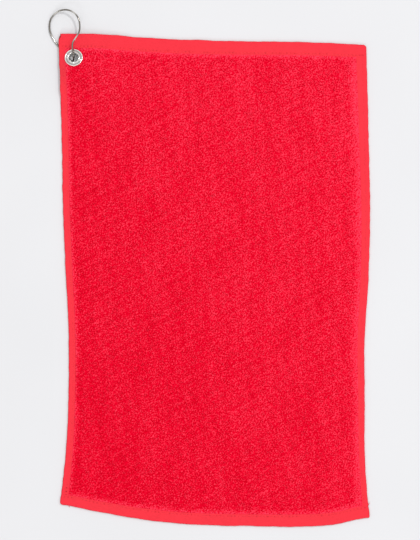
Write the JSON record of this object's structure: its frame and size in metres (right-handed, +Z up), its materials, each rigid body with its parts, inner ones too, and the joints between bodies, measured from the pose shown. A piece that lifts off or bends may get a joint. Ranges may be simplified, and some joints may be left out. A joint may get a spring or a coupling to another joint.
{
  "type": "golf towel",
  "caption": "Flat rectangular terry golf towel with sewn hems, a metal grommet in one corner and a pear-shaped wire hook through it.",
  "frame": {"origin": "on the surface that the towel lies on, under the middle of the whole object's box", "axes": "+Z up out of the towel's face, +Y towards the top edge with the grommet, +X to the right of the face"},
  "size_m": [0.4214, 0.678, 0.0114],
  "materials": {
    "terry_cloth": "matte",
    "hem_weave": "matte",
    "sewing_thread": "satin",
    "nickel_plate": "polished",
    "nickel_wire": "polished"
  },
  "bodies": {
    "towel": {"terry_field": "terry_cloth", "top_hem": "hem_weave", "bottom_hem": "hem_weave", "left_hem": "hem_weave", "right_hem": "hem_weave", "top_hem_thread": "sewing_thread", "bottom_hem_thread": "sewing_thread", "left_hem_thread": "sewing_thread", "right_hem_thread": "sewing_thread", "grommet_eyelet": "nickel_plate", "grommet_washer": "nickel_plate"},
    "hook": {"wire_hook": "nickel_wire"}
  },
  "joints": [
    {"name": "hook_swing", "type": "hinge", "parent": "towel", "child": "hook", "pos_m": [-0.1772, 0.2748, 0.0068], "axis": [0, 0, 1], "range_deg": [-45, 60]}
  ]
}
